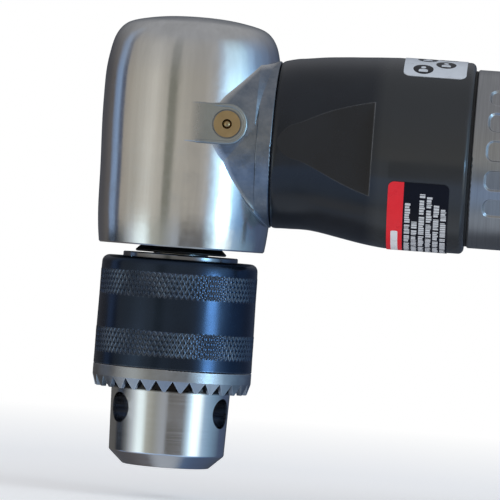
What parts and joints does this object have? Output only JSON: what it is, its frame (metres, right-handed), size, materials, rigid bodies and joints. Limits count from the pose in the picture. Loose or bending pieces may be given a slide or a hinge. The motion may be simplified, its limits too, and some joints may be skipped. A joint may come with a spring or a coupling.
{
  "type": "right-angle air drill",
  "caption": "Right-angle pneumatic drill with a keyed three-jaw chuck, bevel and planetary gearing, vane motor, throttle lever and threaded air inlet.",
  "frame": {"origin": "centre of the chuck's nose face, on the spindle axis", "axes": "+Z along the spindle axis from the nose towards the head, +X along the handle towards the air inlet"},
  "size_m": [0.2074, 0.0418, 0.0987],
  "materials": {
    "turned_steel": "turned, bright",
    "ground_steel": "ground",
    "gear_steel": "matte hobbed",
    "key_gear_steel": "matte, phosphated",
    "black_oxide_steel": "satin black oxide",
    "collar_black": "satin black",
    "head_aluminium": "polished casting with a matte neck",
    "brass": "matte",
    "bronze": "sintered",
    "case_black": "satin black",
    "housing_silver": "satin silver",
    "black_rubber": "matte",
    "gasket_grey": "matte",
    "cast_iron": "ground bore",
    "blade_composite": "cloth-filled resin",
    "lever_steel": "satin plated",
    "spring_steel": "bright",
    "knob_black": "satin black",
    "deflector_black": "satin black",
    "felt": "pressed felt",
    "caution_label": "red and black, blank bars",
    "safety_label": "white, blank discs"
  },
  "bodies": {
    "housing": {"angle_head": "head_aluminium", "spindle_bearing_outer": "ground_steel", "bearing_retainer": "spring_steel", "upper_bush": "bronze", "grease_fitting": "brass", "grease_ball": "brass", "case_oring": "black_rubber", "pinion_bearing_outer": "ground_steel", "gear_case": "case_black", "gasket_ring": "gasket_grey", "ring_gear": "gear_steel", "motor_cylinder": "cast_iron", "front_end_plate": "cast_iron", "rear_end_plate": "cast_iron", "cylinder_pin": "ground_steel", "rotor_bearing_outers": "ground_steel", "motor_housing": "housing_silver", "lever_pin": "ground_steel", "valve_bush": "brass", "valve_spring": "spring_steel", "exhaust_deflector": "deflector_black", "muffler_felt": "felt", "inlet_bushing": "ground_steel", "inlet_screen": "brass", "caution_label": "caution_label", "safety_label": "safety_label"},
    "chuck": {"chuck_body": "turned_steel", "chuck_screw": "black_oxide_steel", "spindle": "ground_steel", "gear_key": "ground_steel", "spindle_collar": "collar_black", "spindle_bearing_inner": "ground_steel", "bevel_gear": "gear_steel"},
    "sleeve": {"chuck_sleeve": "black_oxide_steel", "chuck_gear_ring": "key_gear_steel", "chuck_nut": "ground_steel"},
    "jaw_1": {"chuck_jaw_1": "ground_steel"},
    "jaw_2": {"chuck_jaw_2": "ground_steel"},
    "jaw_3": {"chuck_jaw_3": "ground_steel"},
    "spindle_balls": {"spindle_bearing_balls": "ground_steel"},
    "pinion_balls": {"pinion_bearing_balls": "ground_steel"},
    "rotor_balls": {"rotor_bearing_balls": "ground_steel"},
    "carrier": {"bevel_pinion": "gear_steel", "pinion_bearing_inner": "ground_steel", "planet_carrier": "ground_steel", "planet_pins": "ground_steel"},
    "planet_1": {"planet_gear_1": "gear_steel"},
    "planet_2": {"planet_gear_2": "gear_steel"},
    "planet_3": {"planet_gear_3": "gear_steel"},
    "rotor": {"rotor": "ground_steel", "rotor_vanes": "blade_composite", "rotor_bearing_inners": "ground_steel"},
    "lever": {"throttle_lever": "lever_steel"},
    "valve": {"valve_stem": "brass", "valve_ball": "black_rubber"},
    "reverse": {"reverse_valve": "brass", "reverse_knob": "knob_black"}
  },
  "joints": [
    {"name": "chuck_spin", "type": "hinge", "parent": "housing", "child": "chuck", "pos_m": [0, 0, 0.05], "axis": [0, 0, 1], "continuous": true},
    {"name": "sleeve_turn", "type": "hinge", "parent": "chuck", "child": "sleeve", "pos_m": [0, 0, 0.03], "axis": [0, 0, 1], "range_deg": [0, 3590]},
    {"name": "jaw_1_slide", "type": "slide", "parent": "chuck", "child": "jaw_1", "axis": [-0.1866, -0.1401, -0.9724], "range_m": [0, 0.0175]},
    {"name": "jaw_2_slide", "type": "slide", "parent": "chuck", "child": "jaw_2", "axis": [0.2147, -0.0916, -0.9724], "range_m": [0, 0.0175]},
    {"name": "jaw_3_slide", "type": "slide", "parent": "chuck", "child": "jaw_3", "axis": [-0.028, 0.2317, -0.9724], "range_m": [0, 0.0175]},
    {"name": "spindle_balls_spin", "type": "hinge", "parent": "housing", "child": "spindle_balls", "pos_m": [0, 0, 0.055], "axis": [0, 0, 1], "continuous": true},
    {"name": "carrier_spin", "type": "hinge", "parent": "housing", "child": "carrier", "pos_m": [0.02, 0, 0.072], "axis": [1, 0, 0], "continuous": true},
    {"name": "pinion_balls_spin", "type": "hinge", "parent": "housing", "child": "pinion_balls", "pos_m": [0.018, 0, 0.072], "axis": [1, 0, 0], "continuous": true},
    {"name": "rotor_spin", "type": "hinge", "parent": "housing", "child": "rotor", "pos_m": [0.07, 0, 0.072], "axis": [1, 0, 0], "continuous": true},
    {"name": "rotor_balls_spin", "type": "hinge", "parent": "housing", "child": "rotor_balls", "pos_m": [0.07, 0, 0.072], "axis": [1, 0, 0], "continuous": true},
    {"name": "planet_1_spin", "type": "hinge", "parent": "carrier", "child": "planet_1", "pos_m": [0.0345, 0, 0.06375], "axis": [1, 0, 0], "continuous": true},
    {"name": "planet_2_spin", "type": "hinge", "parent": "carrier", "child": "planet_2", "pos_m": [0.0345, 0.00714, 0.07612], "axis": [1, 0, 0], "continuous": true},
    {"name": "planet_3_spin", "type": "hinge", "parent": "carrier", "child": "planet_3", "pos_m": [0.0345, -0.00714, 0.07612], "axis": [1, 0, 0], "continuous": true},
    {"name": "throttle_lever", "type": "hinge", "parent": "housing", "child": "lever", "pos_m": [0.154, 0, 0.05], "axis": [0, 1, 0], "range_deg": [0, 8], "stiffness_Nm_per_rad": 0.6, "springref_deg": -11.46},
    {"name": "valve_lift", "type": "slide", "parent": "housing", "child": "valve", "axis": [0, 0, 1], "range_m": [0, 0.00365], "deforming": ["valve_spring"]},
    {"name": "reverse_turn", "type": "hinge", "parent": "housing", "child": "reverse", "pos_m": [0.112, 0, 0.08], "axis": [0, 0, 1], "range_deg": [0, 90]}
  ],
  "couplings": [
    {"joint": "jaw_1_slide", "follows": "sleeve_turn", "m_per_rad": 0.00027852},
    {"joint": "jaw_2_slide", "follows": "sleeve_turn", "m_per_rad": 0.00027852},
    {"joint": "jaw_3_slide", "follows": "sleeve_turn", "m_per_rad": 0.00027852},
    {"joint": "carrier_spin", "follows": "chuck_spin", "ratio": 1.6667},
    {"joint": "rotor_spin", "follows": "chuck_spin", "ratio": 10},
    {"joint": "spindle_balls_spin", "follows": "chuck_spin", "ratio": 0.381},
    {"joint": "pinion_balls_spin", "follows": "chuck_spin", "ratio": 0.66771},
    {"joint": "rotor_balls_spin", "follows": "chuck_spin", "ratio": 3.6345},
    {"joint": "planet_1_spin", "follows": "chuck_spin", "ratio": -4.1667},
    {"joint": "planet_2_spin", "follows": "chuck_spin", "ratio": -4.1667},
    {"joint": "planet_3_spin", "follows": "chuck_spin", "ratio": -4.1667},
    {"joint": "valve_lift", "follows": "throttle_lever", "m_per_rad": 0.026}
  ]
}
